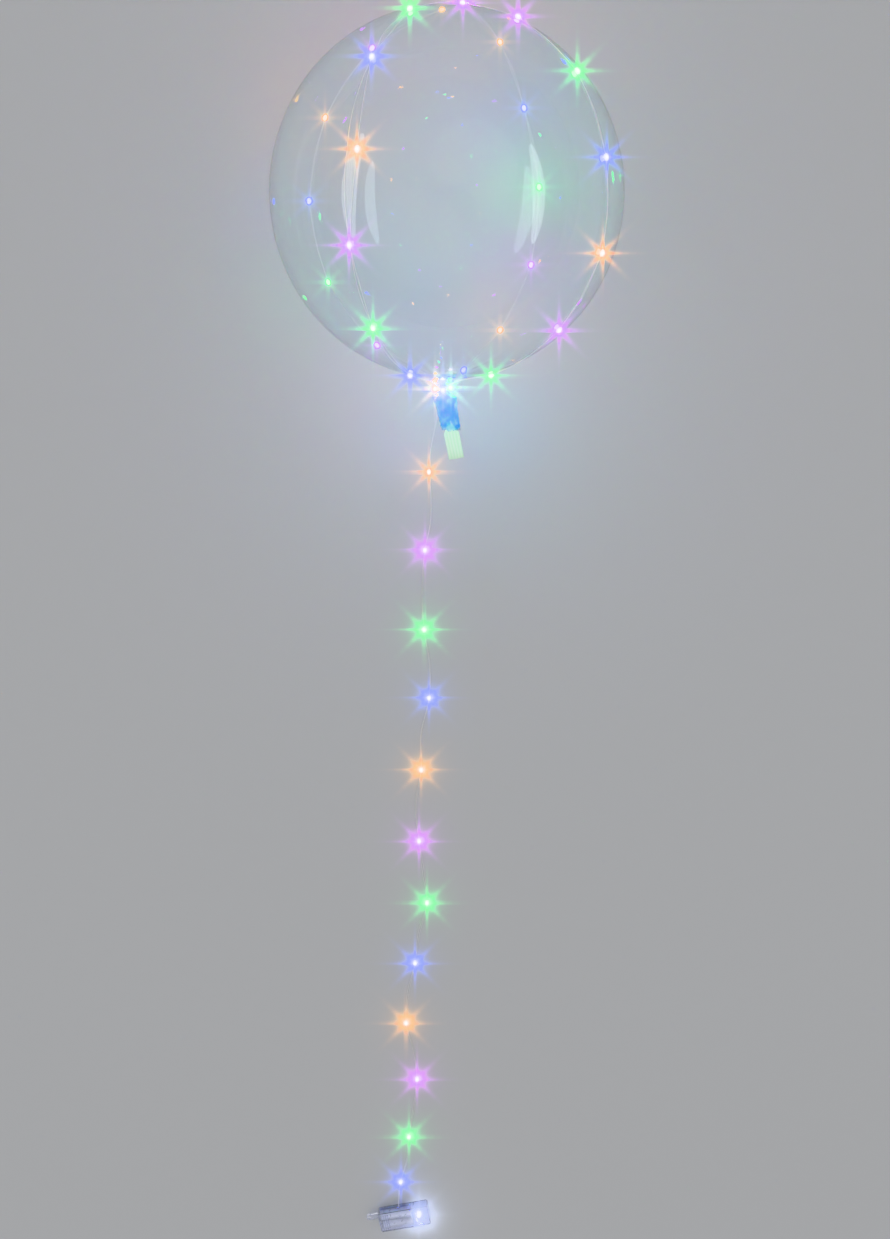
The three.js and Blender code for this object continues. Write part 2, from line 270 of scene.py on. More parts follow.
def stripMaterial():
    material, nodes, links, shader = startMaterial("strip_plastic")
    setValues(shader, Transmission_Weight=0.12, Coat_Weight=0.2, Coat_Roughness=0.25)
    roughen(nodes, links, shader, 320, (0.38, 0.6), 0.25, 0.0002)
    place = nodes.new("ShaderNodeUVMap")
    bands = nodes.new("ShaderNodeTexWave")
    bands.bands_direction = "X"
    bands.inputs["Scale"].default_value = 1.6
    bands.inputs["Distortion"].default_value = 1.5
    bands.inputs["Detail"].default_value = 3
    links.new(place.outputs["UV"], bands.inputs["Vector"])
    spreadColours(nodes, links, bands, shader.inputs["Base Color"], (0.64, 0.92, 0.62),
                  (0.76, 0.96, 0.72))
    return material


# the faint blue-violet of the base colour is painted bluish light from the lamps
def clearPlasticMaterial():
    material, nodes, links, shader = startMaterial("clear_plastic")
    setValues(shader, Base_Color=(0.87, 0.885, 0.99, 1), Transmission_Weight=0.95, IOR=1.49)
    roughen(nodes, links, shader, 90, (0.03, 0.12), 0.1, 0.0002)
    letLightThrough(nodes, links, shader, (0.9, 0.92, 0.98, 1))
    return material


def jacketMaterial():
    material, nodes, links, shader = startMaterial("cell_jacket")
    setValues(shader, Metallic=0.55, Coat_Weight=0.5, Coat_Roughness=0.1)
    grain = roughen(nodes, links, shader, 200, (0.25, 0.4), 0.1, 0.0001)
    spreadColours(nodes, links, grain, shader.inputs["Base Color"], (0.62, 0.63, 0.66),
                  (0.86, 0.87, 0.9))
    return material


def nickelMaterial():
    material, nodes, links, shader = startMaterial("nickel")
    setValues(shader, Metallic=1.0)
    grain = roughen(nodes, links, shader, 500, (0.15, 0.35), 0.15, 0.00005)
    spreadColours(nodes, links, grain, shader.inputs["Base Color"], (0.6, 0.59, 0.56),
                  (0.85, 0.84, 0.81))
    return material


film = clearFilmMaterial()
crumpledFilm = crumpledFilmMaterial()
wire = wireMaterial()
clearPlastic = clearPlasticMaterial()
nickel = nickelMaterial()
resins = {colour: resinMaterial(colour) for colour in lightColours}
chips = {colour: chipMaterial(colour) for colour in lightColours}
print("materials made")


drop = dict(radius=2.1 * mm, half=3.5 * mm, rows=12, around=14, bluntness=2.3, fullness=0.62,
            chip=(0.9, 1.7, 0.6), chipLift=0.3 * mm, glowSize=2 * mm)


def useSecondMaterial(verts):
    for face in {face for vert in verts for face in vert.link_faces}:
        face.material_index = 1


def makeDrop():
    bm = bmesh.new()
    outline = []
    for row in range(drop["rows"] + 1):
        along = -1 + 2 * row / drop["rows"]
        girth = (1 - abs(along) ** drop["bluntness"]) ** drop["fullness"]
        outline.append((drop["radius"] * girth, drop["half"] * along))
    spinOutline(bm, outline, drop["around"])
    made = bmesh.ops.create_cube(bm, size=mm)
    bmesh.ops.scale(bm, vec=drop["chip"], verts=made["verts"])
    bmesh.ops.translate(bm, vec=(0, 0, drop["chipLift"]), verts=made["verts"])
    useSecondMaterial(made["verts"])
    return meshFrom(bm, "drop")


dropShape = makeDrop()


# a light sits on its wire, which runs along, and its chip looks out; the chip has the
# light's own colour unless core names another
def addLight(node, name, colour, place, along, out, power, above=0.0, core=None):
    yAxis = along.normalized()
    zAxis = (out - yAxis * out.dot(yAxis)).normalized()
    xAxis = yAxis.cross(zAxis)
    turn = Matrix((xAxis, yAxis, zAxis)).transposed().to_4x4()
    mesh = dropShape.copy()
    mesh.name = name
    mesh.transform(Matrix.Translation(place) @ turn)
    light = addPiece(name, mesh, [resins[colour], chips[core or colour]],
                     [node])
    light.visible_shadow = False
    light.visible_diffuse = False
    addGlow(name + "_glow", colour, place + zAxis * above, power)
    return light


# a lamp that isn't seen itself, for the light that a lit piece throws on what is near it
def addGlow(name, colour, place, power):
    data = bpy.data.lights.new(name, "POINT")
    data.energy = power
    data.color = lightColours[colour]
    data.shadow_soft_size = drop["glowSize"]
    lamp = bpy.data.objects.new(name, data)
    lamp.location = place
    bpy.context.collection.objects.link(lamp)
    lamp.visible_camera = False
    lamp.visible_transmission = False


strand = dict(radius=0.25 * mm, apart=0.27 * mm)


# smooth line through points, with each of them on it, and an even number of steps between
def smoothLine(points, steps):
    points = [Vector(point) for point in points]
    ends = [2 * points[0] - points[1], *points, 2 * points[-1] - points[-2]]
    line = []
    for before, start, end, after in zip(ends, ends[1:], ends[2:], ends[3:]):
        knots = [0.0]
        for a, b in ((before, start), (start, end), (end, after)):
            knots.append(knots[-1] + (b - a).length ** 0.5)
        for step in range(steps):
            t = knots[1] + (knots[2] - knots[1]) * step / steps
            line.append(splinePoint((before, start, end, after), knots, t))
    return line + [points[-1]]


def splinePoint(points, knots, t):
    level = list(points)
    for depth in (1, 2):
        level = [
            level[i].lerp(level[i + 1], (t - knots[i]) / (knots[i + depth] - knots[i]))
            for i in range(len(level) - 1)
        ]
    return level[0].lerp(level[1], (t - knots[1]) / (knots[2] - knots[1]))


def directionAt(line, i):
    return line[min(i + 1, len(line) - 1)] - line[max(i - 1, 0)]


# sideways direction at each point of a line, level with the surface it lies on
def sideways(line, outs):
    return [directionAt(line, i).cross(out).normalized() for i, out in enumerate(outs)]


# how far each of the two wires is from their middle line: together at the lights,
# apart between them by an amount drawn for each gap
def partings(count, marks, widths):
    apart = []
    for i in range(count):
        gap = min(sum(mark <= i for mark in marks) - 1, len(marks) - 2)
        share = (i - marks[gap]) / (marks[gap + 1] - marks[gap])
        apart.append(strand["apart"] + widths[gap] * sin(pi * share) ** 2)
    return apart


def twoStrands(line, sides, apart):
    return [
        [point + side * width * way for point, side, width in zip(line, sides, apart)]
        for way in (1, -1)
    ]


freeString = dict(
    route=[
        (-0.0144, -0.2146, 0.1386), (-0.014, -0.222, 0.127), (-0.0125, -0.234, 0.108),
        (-0.012, -0.251, 0.084), (-0.016, -0.273, 0.060), (-0.021, -0.300, 0.037),
        (-0.0235, -0.330, 0.018), (-0.021, -0.364, 0.006), (-0.022, -0.402, 0.0012),
        (-0.0295, -0.439, 0.0021), (-0.033, -0.491, 0.0007),
        (-0.031, -0.551, 0.0021), (-0.0235, -0.602, 0.0007),
        (-0.0245, -0.650, 0.0021), (-0.036, -0.704, 0.0007),
        (-0.036, -0.757, 0.0021), (-0.044, -0.811, 0.0007),
        (-0.0395, -0.866, 0.0021), (-0.0335, -0.915, 0.0007),
        (-0.0285, -0.963, 0.0021), (-0.0405, -1.013, 0.0007),
        (-0.0465, -1.060, 0.0021), (-0.057, -1.110, 0.0007),
        (-0.0605, -1.159, 0.0021), (-0.050, -1.205, 0.0007),
        (-0.0445, -1.254, 0.0021), (-0.050, -1.304, 0.0007),
        (-0.0575, -1.354, 0.0021), (-0.061, -1.396, 0.0007),
        (-0.071, -1.434, 0.0021), (-0.0735, -1.455, 0.0046), (-0.0744, -1.4719, 0.009),
    ],
    colours=["amber", "magenta", "green", "blue"] * 3,
    length=1.32, diameter=1 * mm, steps=16, seed=4, parting=(0.1, 1.1), lightsFace=(0.1, 0, 1),
    power=0.022, glowAbove=2.5 * mm,
)


def makeFreeString():
    route = freeString["route"]
    steps = freeString["steps"]
    line = smoothLine(route, steps)
    lights, marks = [], [0]
    for i, colour in enumerate(freeString["colours"]):
        node = f"cord_light_{i + 1:02d}"
        centre = nodeCentre(node)
        nearest = min(range(len(line)), key=lambda k: (line[k] - centre).length)
        dim = min(1, (2 * drop["radius"] / line[nearest].z) ** 0.5)  # higher up it glows less
        lights.append(addLight(node, f"string_drop_{i + 1:02d}", colour, line[nearest],
                               directionAt(line, nearest), Vector(freeString["lightsFace"]),
                               freeString["power"] * dim, freeString["glowAbove"]))
        marks.append(nearest)
    marks.append(len(line) - 1)
    draw = random.Random(freeString["seed"])
    widths = [draw.uniform(*freeString["parting"]) * mm for _ in marks]
    sides = sideways(line, [Vector((0, 0, 1))] * len(line))
    strands = twoStrands(line, sides, partings(len(line), marks, widths))
    mesh = tubesAlong("free_string", strands, strand["radius"])
    string = addPiece("free_string", mesh, [wire], ["cord_wire"])


makeFreeString()
print("free string made")


ballLow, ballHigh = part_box("balloon_film")
ballRadius = (ballHigh.x - ballLow.x) / 2
ballMiddle = Vector((0, 0, ballHigh.z - ballRadius))
neck = Vector(mounts["neck_tie"]["axis"]).normalized()
ballTurn = (Matrix.Rotation(atan2(neck.x, -neck.y), 4, "Z")
            @ Matrix.Rotation(asin(-neck.z), 4, "X"))
ballFrame = Matrix.Translation(ballMiddle) @ ballTurn
intoBall = ballFrame.inverted()

balloon = dict(
    tieReach=221 * mm, tieRadius=4.4 * mm, tieLength=6 * mm, flareLength=22 * mm,
    wall=0.25 * mm, around=168, rest=0.3 * mm, restBlend=0.8 * mm,
    pleats=13, pleatDepth=2.3 * mm, pleatReach=26 * mm, pleatsFrom=(60 * mm, 140 * mm),
    creases=34, creaseDepth=0.8 * mm, creaseReach=52 * mm, deepest=0.32,
)
tail = dict(
    length=55 * mm, width=30 * mm, taper=0.16, flatness=0.55, lean=0.21, droop=1.3,
    opens=14 * mm, rows=46, folds=7, foldTwist=12, foldDepth=(0.34, 0.18),
    cell=7 * mm, fineCells=2.3, fineShare=0.45, crumple=2.1 * mm, level=0.35,
    ragged=3.5 * mm, raggedFrom=0.75, tears=3,
)
tieStart = balloon["tieReach"] - balloon["tieLength"] / 2


# how far the film is drawn out beyond the ball to the neck, at a distance from the axis
def neckFlare(radius):
    return (tieStart - ballRadius) * exp((balloon["tieRadius"] - radius) / balloon["flareLength"])


# point on the film, or lifted off it, at an angle from the top and one round the axis
def onFilm(fromTop, around, lift=0.0):
    radius = ballRadius * sin(fromTop)
    flare = neckFlare(radius) if fromTop > pi / 2 else 0
    point = Vector((radius * sin(around), ballRadius * cos(fromTop) - flare,
                    radius * cos(around)))
    return point * (1 + lift / point.length)


# the two angles of a point near the film
def anglesOf(point):
    radius = Vector((point.x, point.z)).length
    flare = neckFlare(radius) if point.y < 0 else 0
    return atan2(radius, point.y + flare), atan2(point.x, point.z)


def tailMiddle(along):
    return Vector((tail["lean"] * along, -balloon["tieReach"] - along,
                   -tail["droop"] * along ** 2))


def tailHalfWidth(along):
    opening = smoothStep(along, balloon["tieLength"] / 2, tail["opens"])
    taper = 1 - tail["taper"] * smoothStep(along, tail["opens"], tail["length"])
    return balloon["tieRadius"] + (tail["width"] / 2 * taper - balloon["tieRadius"]) * opening


# from the top to the tail's mouth, in smaller and smaller steps on the ball
def filmOutline():
    angles = [2.5 * i for i in range(57)] + [141 + i for i in range(29)]
    angles += [169.6 + 0.6 * i for i in range(15)]
    tieRows = 4
    outline = []
    for angle in angles:
        point = onFilm(radians(angle), pi / 2)
        outline.append((max(point.x, 0), point.y))
    half = balloon["tieLength"] / 2
    for i in range(tieRows):
        along = half * (2 * i / (tieRows - 1) - 1)
        outline.append((balloon["tieRadius"], -balloon["tieReach"] - along))
    for i in range(1, tail["rows"] + 1):
        along = half + (tail["length"] - half) * i / tail["rows"]
        outline.append((tailHalfWidth(along), -balloon["tieReach"] - along))
    return outline


# depth of the uneven gathers, which run from the tie into the ball, with finer creases
def pleatDepth(radius, around):
    gather = exp((balloon["tieRadius"] - radius) / balloon["pleatReach"])
    pleats = abs(sin(balloon["pleats"] / 2 * around + 0.8 * sin(3 * around + 1)))
    fine = exp(-radius / balloon["creaseReach"])
    creases = abs(sin(balloon["creases"] / 2 * around + 2 * sin(2 * around)))
    depth = balloon["pleatDepth"] * gather * pleats + balloon["creaseDepth"] * fine * creases
    return min(depth, balloon["deepest"] * radius)


# long folds and facets of two sizes, and a ragged mouth
def crumpleTail(vert, along):
    opening = smoothStep(along, balloon["tieLength"] / 2, tail["opens"])
    around = atan2(vert.co.x, vert.co.z)
    twist = 0.5 * sin(2 * around) + tail["foldTwist"] * along
    folds = abs(sin(tail["folds"] / 2 * around + twist))
    deep, shallow = tail["foldDepth"]
    scale = 1 - (deep + (shallow - deep) * opening) * folds
    near, _ = noise.voronoi(vert.co / tail["cell"])
    close, _ = noise.voronoi(vert.co / tail["cell"] * tail["fineCells"])
    bulge = (near[1] - near[0]) + tail["fineShare"] * (close[1] - close[0]) - tail["level"]
    radius = Vector((vert.co.x, vert.co.z)).length
    scale += opening * tail["crumple"] * bulge / radius
    edge = smoothStep(along, tail["raggedFrom"] * tail["length"], tail["length"])
    tear = noise.noise(Vector((tail["tears"] * sin(around), tail["tears"] * cos(around), 5)))
    middle = tailMiddle(along - abs(tear) * tail["ragged"] * edge)
    flatness = 1 + (tail["flatness"] - 1) * opening
    vert.co = Vector((middle.x + vert.co.x * scale, middle.y,
                      middle.z + vert.co.z * scale * flatness))


# the film lies on the floor in a small flat spot with a soft rim
def restOnFloor(vert):
    above = vert.co.z - balloon["rest"]
    blend = balloon["restBlend"]
    if above < 10 * blend:  # higher up the change is too small to see
        vert.co.z = balloon["rest"] + (above + sqrt(above ** 2 + blend ** 2)) / 2


def makeFilm():
    bm = bmesh.new()
    spinOutline(bm, filmOutline(), balloon["around"])
    bm.normal_update()
    normals = {vert: vert.normal.copy() for vert in bm.verts}
    for vert in bm.verts:
        along = -balloon["tieReach"] - vert.co.y
        if along > balloon["tieLength"] / 2:
            crumpleTail(vert, along)
        else:
            radius = Vector((vert.co.x, vert.co.z)).length
            share = smoothStep(-vert.co.y, *balloon["pleatsFrom"])
            depth = share * pleatDepth(radius, atan2(vert.co.x, vert.co.z))
            vert.co -= normals[vert] * depth
    # faces past the tie take the tail film, whose colour is painted lamp glow, highlights and
    # shade
    for face in bm.faces:
        face.material_index = int(face.calc_center_median().y < -balloon["tieReach"])
    bm.transform(ballFrame)
    for vert in bm.verts:
        restOnFloor(vert)
    skin = addPiece("film_skin", meshFrom(bm, "film_skin"), [film, crumpledFilm],
                    ["balloon_film"])
    wall = skin.modifiers.new("wall", "SOLIDIFY")
    wall.thickness = balloon["wall"]
    wall.offset = -1


makeFilm()
print("film made")


strip = dict(
    width=19 * mm, thickness=0.8 * mm, start=45 * mm, shoulder=15 * mm, end=96 * mm,
    held=52 * mm, peak=2.5 * mm, across=8, rows=34, bow=0.5 * mm, ripple=0.4 * mm, ripples=9,
    edge=0.2 * mm,
)


def makeStrip():
    bm = bmesh.new()
    uv = bm.loops.layers.uv.new("UVMap")
    bmesh.ops.create_grid(bm, x_segments=strip["across"], y_segments=strip["rows"], size=0.5)
    shares = {vert: (vert.co.x, vert.co.y) for vert in bm.verts}
    length = strip["end"] - strip["start"]
    for vert in bm.verts:
        across, up = shares[vert]
        down = (0.5 - up) * length
        widening = min(down / strip["shoulder"], 1)
        half = strip["peak"] + (strip["width"] / 2 - strip["peak"]) * widening
        ripple = strip["ripple"] * sin(strip["ripples"] * down / length)
        bow = strip["bow"] * cos(2 * pi * across) + ripple
        vert.co = Vector((2 * across * half, strip["held"] - strip["start"] - down, bow))
    for face in bm.faces:
        for loop in face.loops:
            across, up = shares[loop.vert]
            loop[uv].uv = (across + 0.5, up + 0.5)
    middle = tailMiddle(strip["held"])
    place = (ballFrame @ Matrix.Translation(middle)
             @ Matrix.Rotation(atan(tail["lean"]), 4, "Z")
             @ Matrix.Rotation(atan(2 * tail["droop"] * strip["held"]), 4, "X"))
    piece = addPiece("mouth_strip", meshFrom(bm, "mouth_strip", place), [stripMaterial()],
                     ["neck_strip"])
    body = piece.modifiers.new("body", "SOLIDIFY")
    body.thickness = strip["thickness"]
    body.offset = 0
    edge = piece.modifiers.new("edge", "BEVEL")
    edge.width = strip["edge"]
    edge.segments = 2


makeStrip()
print("strip made")


filmString = dict(lift=2.5 * mm, lay=0.6 * mm, settle=9 * mm, steps=34, neckAngle=175,
                  turnsRadius=6.9 * mm, beforeTurns=1.5 * mm, crossingLift=4.3 * mm,
                  bowLift=1.5 * mm, bowFullness=1.3, parting=(0.2, 1.6), power=0.08)
# two rounds of the string over the balloon: wide gives some gaps between lights their own
# parting of the wires, loose is the bow of one wire past a light, and crossing is where the
# side round passes over the front one
rounds = dict(
    front=dict(
        nodes="front_round_light_", wire="front_round_wire", seed=11,
        colours=["blue", "green", "magenta", "amber", "blue", "green", "magenta", "amber",
                 "blue", "green", "magenta", "amber", "blue"],
        wide={1: 2.2, 5: 4.0}, loose=(2, 4, 12 * mm),
    ),
    side=dict(
        nodes="side_round_light_", wire="side_round_wire", seed=23,
        colours=["green", "magenta", "amber", "blue", "green", "magenta", "amber",
                 "magenta", "amber", "blue", "green", "magenta"],
        wide={7: 3.5}, crossing=(6, radians(12.5), radians(155)),
    ),
)


def unitAt(fromTop, around):
    return Vector((sin(fromTop) * sin(around), cos(fromTop), sin(fromTop) * cos(around)))


# middle line of the string between two places on the film: it dips from the lights to
# the film and lies on it between them
def filmGap(start, end, lifts, steps):
    a, b = unitAt(*start), unitAt(*end)
    length = ballRadius * a.angle(b)
    line = []
    for i in range(steps):
        share = i / steps
        way = a.slerp(b, share)
        fromStart = exp(-share * length / filmString["settle"])
        fromEnd = exp(-(1 - share) * length / filmString["settle"])
        lift = filmString["lay"] + (lifts[0] - filmString["lay"]) * fromStart
        lift += (lifts[1] - filmString["lay"]) * fromEnd
        line.append(onFilm(atan2(Vector((way.x, way.z)).length, way.y),
                           atan2(way.x, way.z), lift))
    return line


def makeRound(name, facts):
    nodes = [f"{facts['nodes']}{i + 1:02d}" for i in range(len(facts["colours"]))]
    places = [anglesOf(intoBall @ nodeCentre(node)) for node in nodes]
    stops = [(place, filmString["lift"], i) for i, place in enumerate(places)]
    if "crossing" in facts:
        after, fromTop, around = facts["crossing"]
        stops.insert(after, ((fromTop, around), filmString["crossingLift"], None))
    nearNeck = radians(filmString["neckAngle"])
    stops.insert(0, ((nearNeck, places[0][1]), filmString["lift"], None))
    stops.append(((nearNeck, places[-1][1]), filmString["lift"], None))
    line, marks = [], []
    for (start, lowLift, index), (end, highLift, _) in zip(stops, stops[1:]):
        if index is not None:
            marks.append(len(line))
        line += filmGap(start, end, (lowLift, highLift), filmString["steps"])
    line.append(onFilm(*stops[-1][0], filmString["lift"]))
    line = [onTurns(places[0][1])] + line + [onTurns(places[-1][1])]
    marks = [mark + 1 for mark in marks]

    outs = [point.normalized() for point in line]
    sides = sideways(line, outs)
    draw = random.Random(facts["seed"])
    ends = [0, *marks, len(line) - 1]
    widths = [draw.uniform(*filmString["parting"]) * mm for _ in ends]
    for gap, width in facts["wide"].items():
        widths[gap] = width * mm
    pair = twoStrands(line, sides, partings(len(line), ends, widths))
    if "loose" in facts:
        bowOut(pair[1], sides, line, marks, *facts["loose"])
    pair = [[ballFrame @ point for point in part] for part in pair]
    addPiece(name + "_strands", tubesAlong(name + "_strands", pair, strand["radius"]), [wire],
             [facts["wire"]])
    turn = ballFrame.to_3x3()
    for i, (node, colour) in enumerate(zip(nodes, facts["colours"])):
        at = marks[i]
        addLight(node, f"{name}_drop_{i + 1:02d}", colour, ballFrame @ line[at],
                 turn @ directionAt(line, at), turn @ outs[at], filmString["power"])


# place where a round's end meets the turns at the tie
def onTurns(around):
    reach = filmString["turnsRadius"]
    along = tieStart + filmString["beforeTurns"]
    return Vector((reach * sin(around), -along, reach * cos(around)))


# one wire stands off in a wide bow past a light, from one light to another
def bowOut(wirePoints, sides, line, marks, first, last, width):
    start, end = marks[first], marks[last]
    for i in range(start, end + 1):
        share = sin(pi * (i - start) / (end - start))
        reach = strand["apart"] + width * share ** filmString["bowFullness"]
        lift = filmString["lay"] + filmString["bowLift"] * (1 - share)
        wirePoints[i] = onFilm(*anglesOf(line[i] - sides[i] * reach), lift)


for name, facts in rounds.items():
    makeRound(name + "_round", facts)
print("rounds made")


turns = dict(radius=6.2 * mm, count=5, width=4.6 * mm, steps=26, lag=0.35, slack=0.7 * mm,
             slackWaves=2.3, weave=2.7 * mm, weaveWaves=0.8, crowding=0.25, leavesAt=0.93, seed=8)
tieColours = ["blue", "green", "amber"]
# what the crowded lights at the tie throw on it, down the tail and on the strip
tieGlow = dict(power=0.12, overTie=9 * mm, overTiePower=0.06,
               inTail=(18 * mm, 34 * mm), inTailPower=0.08,
               overStrip=(70 * mm, 40 * mm), overStripPower=0.03)


# both wires wind round the tie, unevenly, one a little behind the other, and then lead out
# to the start of the free string
def makeTurns():
    draw = random.Random(turns["seed"])
    phases = [draw.uniform(0, 2 * pi) for _ in range(4)]
    leave = intoBall @ Vector(freeString["route"][0])
    leaveReach, leaveAngle = Vector((leave.x, leave.z)).length, atan2(leave.x, leave.z)
    lines = []
    for way in (0, 1):
        line = []
        for i in range(turns["count"] * turns["steps"] + 1):
            share = i / (turns["count"] * turns["steps"])
            leaving = smoothStep(share, turns["leavesAt"], 1)
            angle = 2 * pi * turns["count"] * (1 - share) + way * turns["lag"] * (1 - leaving)
            loose = 0.5 + 0.5 * sin(turns["slackWaves"] * angle + phases[way])
            reach = turns["radius"] - turns["slack"] * loose
            weave = turns["weave"] * sin(turns["weaveWaves"] * angle + phases[2 + way])
            along = turns["width"] * (share - 0.5) * (1 - turns["crowding"] * way)
            along += weave * share * (1 - share) - balloon["tieReach"]
            reach += (leaveReach - reach) * leaving
            along += (leave.y - along) * leaving
            angle += leaveAngle
            line.append(ballFrame @ Vector((reach * sin(angle), along, reach * cos(angle))))
        lines.append(line)
    addPiece("tie_windings", tubesAlong("tie_windings", lines, strand["radius"]), [wire],
             ["tie_wire_turns"])
    axisPoint = ballFrame @ Vector((0, -balloon["tieReach"], 0))
    for i, colour in enumerate(tieColours):
        node = f"tie_light_{i + 1:02d}"
        centre = nodeCentre(node)
        out = (centre - axisPoint).normalized()
        addLight(node, f"tie_drop_{i + 1:02d}", colour, centre, out.cross(neck), out,
                 tieGlow["power"], core="white")
    above = turns["radius"] + tieGlow["overTie"]
    addGlow("tie_glow", "white", axisPoint + Vector((0, 0, above)), tieGlow["overTiePower"])
    for i, along in enumerate(tieGlow["inTail"]):
        addGlow(f"tail_glow_{i + 1}", "blue", ballFrame @ tailMiddle(along),
                tieGlow["inTailPower"])
    along, above = tieGlow["overStrip"]
    addGlow("strip_glow", "white", ballFrame @ tailMiddle(along) + Vector((0, 0, above)),
            tieGlow["overStripPower"])


makeTurns()
print("tie made")


case = dict(
    length=78 * mm, width=32 * mm, height=18 * mm, corner=3 * mm, cornerSteps=6, foot=0.8 * mm,
    wall=1.5 * mm, lid=1.8 * mm, gap=0.3 * mm, turn=11, sunk=0.3 * mm,
    divider=15.8 * mm, dividerInset=1 * mm, dividerDrop=2 * mm, eyeletAt=(-6 * mm, 9 * mm),
    lugLength=20 * mm, lugSides=(3 * mm, 12 * mm), lugHeights=(6 * mm, 9.5 * mm),
    lugHole=2 * mm, lugHoleAt=15 * mm, lugRoot=1 * mm, lugSteps=32,
)
lid = dict(edge=0.6 * mm, ribs=4, ribsFrom=4 * mm, ribPitch=3.2 * mm, ribWidth=1.4 * mm,
           ribHeight=0.9 * mm, ribInset=3 * mm, ribEdge=0.45 * mm)
casePlace = (Matrix.Translation(Vector(mounts["case_underside"]["pos_m"]))
             @ Matrix.Rotation(radians(case["turn"]), 4, "Z"))


def addBox(bm, low, high):
    made = bmesh.ops.create_cube(bm, size=1)
    low, high = Vector(low), Vector(high)
    bmesh.ops.scale(bm, vec=high - low, verts=made["verts"])
    bmesh.ops.translate(bm, vec=(low + high) / 2, verts=made["verts"])
    return made["verts"]


def edgesOf(verts, test):
    edges = {edge for vert in verts for edge in vert.link_edges}
    return [edge for edge in edges if test(*(vert.co for vert in edge.verts))]


def bevelEdges(bm, edges, width, segments):
    bmesh.ops.bevel(bm, geom=edges, offset=width, offset_type="OFFSET", segments=segments,
                    profile=0.5, affect="EDGES", material=-1, clamp_overlap=True)


def upright(a, b):
    return abs(a.z - b.z) > 1e-5 and abs(a.x - b.x) < 1e-6 and abs(a.y - b.y) < 1e-6


# open box with a rounded foot, a wall between the cells and the lamp, a lug and an eyelet
def makeCaseBody():
    rim = case["height"] - case["lid"] - case["gap"]
    x, y = case["length"] / 2, case["width"] / 2
    bm = bmesh.new()
    box = addBox(bm, (-x, -y, 0), (x, y, rim))
    bevelEdges(bm, edgesOf(box, upright), case["corner"], case["cornerSteps"])
    top = [face for face in bm.faces if face.normal.z > 0.9]
    hollow = bmesh.ops.inset_region(bm, faces=top, thickness=case["wall"], use_even_offset=True)
    bm.normal_update()
    inner = [face for face in bm.faces
             if face.normal.z > 0.9 and face not in hollow["faces"]]
    sunk = bmesh.ops.extrude_face_region(bm, geom=inner)
    bmesh.ops.delete(bm, geom=inner, context="FACES_ONLY")
    verts = [item for item in sunk["geom"] if isinstance(item, bmesh.types.BMVert)]
    bmesh.ops.translate(bm, vec=(0, 0, case["wall"] - rim), verts=verts)
    under = edgesOf(bm.verts, lambda a, b: a.z < 1e-6 and b.z < 1e-6)
    bevelEdges(bm, under, case["foot"], 3)
    reach = y - case["dividerInset"]
    addBox(bm, (case["divider"], -reach, case["wall"] - case["sunk"]),
           (case["divider"] + case["wall"], reach, rim - case["dividerDrop"]))
    addLug(bm)
    addEyelet(bm)
    bmesh.ops.recalc_face_normals(bm, faces=bm.faces)
    addPiece("case_body", meshFrom(bm, "case_body", casePlace), [clearPlastic],
             ["battery_case"], smooth=False)


# flat lug with a round end and a hole for hanging
def addLug(bm):
    (near, far), (low, high) = case["lugSides"], case["lugHeights"]
    middle, half = (near + far) / 2, (far - near) / 2
    caseEnd = -case["length"] / 2
    roundX = caseEnd - case["lugLength"] + half
    holeX = caseEnd - case["lugHoleAt"]
    outer, inner = [], []
    for i in range(case["lugSteps"]):
        angle = 2 * pi * i / case["lugSteps"]
        x, y = cos(angle), sin(angle)
        inner.append((holeX + case["lugHole"] * x, middle + case["lugHole"] * y, low))
        stretch = half / max(abs(x), abs(y))
        if x <= 0:
            outer.append((roundX + half * x, middle + half * y, low))
        elif abs(x) > abs(y):
            outer.append((caseEnd + case["lugRoot"], middle + stretch * y, low))
        else:
            outer.append((holeX + stretch * x, middle + stretch * y, low))
    edges = []
    for ring in (outer, inner):
        verts = [bm.verts.new(place) for place in ring]
        edges += [bm.edges.new(pair) for pair in zip(verts, verts[1:] + verts[:1])]
    made = bmesh.ops.bridge_loops(bm, edges=edges)
    raised = bmesh.ops.extrude_face_region(bm, geom=made["faces"], use_keep_orig=True)
    verts = [item for item in raised["geom"] if isinstance(item, bmesh.types.BMVert)]
    bmesh.ops.translate(bm, vec=(0, 0, high - low), verts=verts)


# tapered eyelet that the string comes in through
def addEyelet(bm):
    outline = [(0.8, -0.5), (2.6, -0.5), (2.6, 0.5), (2.4, 1.8), (2.2, 2.5), (1.9, 2.7),
               (1.1, 2.7), (0.8, 2.5), (0.8, -0.5)]
    part = bmesh.new()
    spinOutline(part, [(r * mm, h * mm) for r, h in outline], 20)
    along, high = case["eyeletAt"]
    part.transform(Matrix.Translation((along, case["width"] / 2, high)))
    mesh = meshFrom(part, "eyelet")
    bm.from_mesh(mesh)
    bpy.data.meshes.remove(mesh)


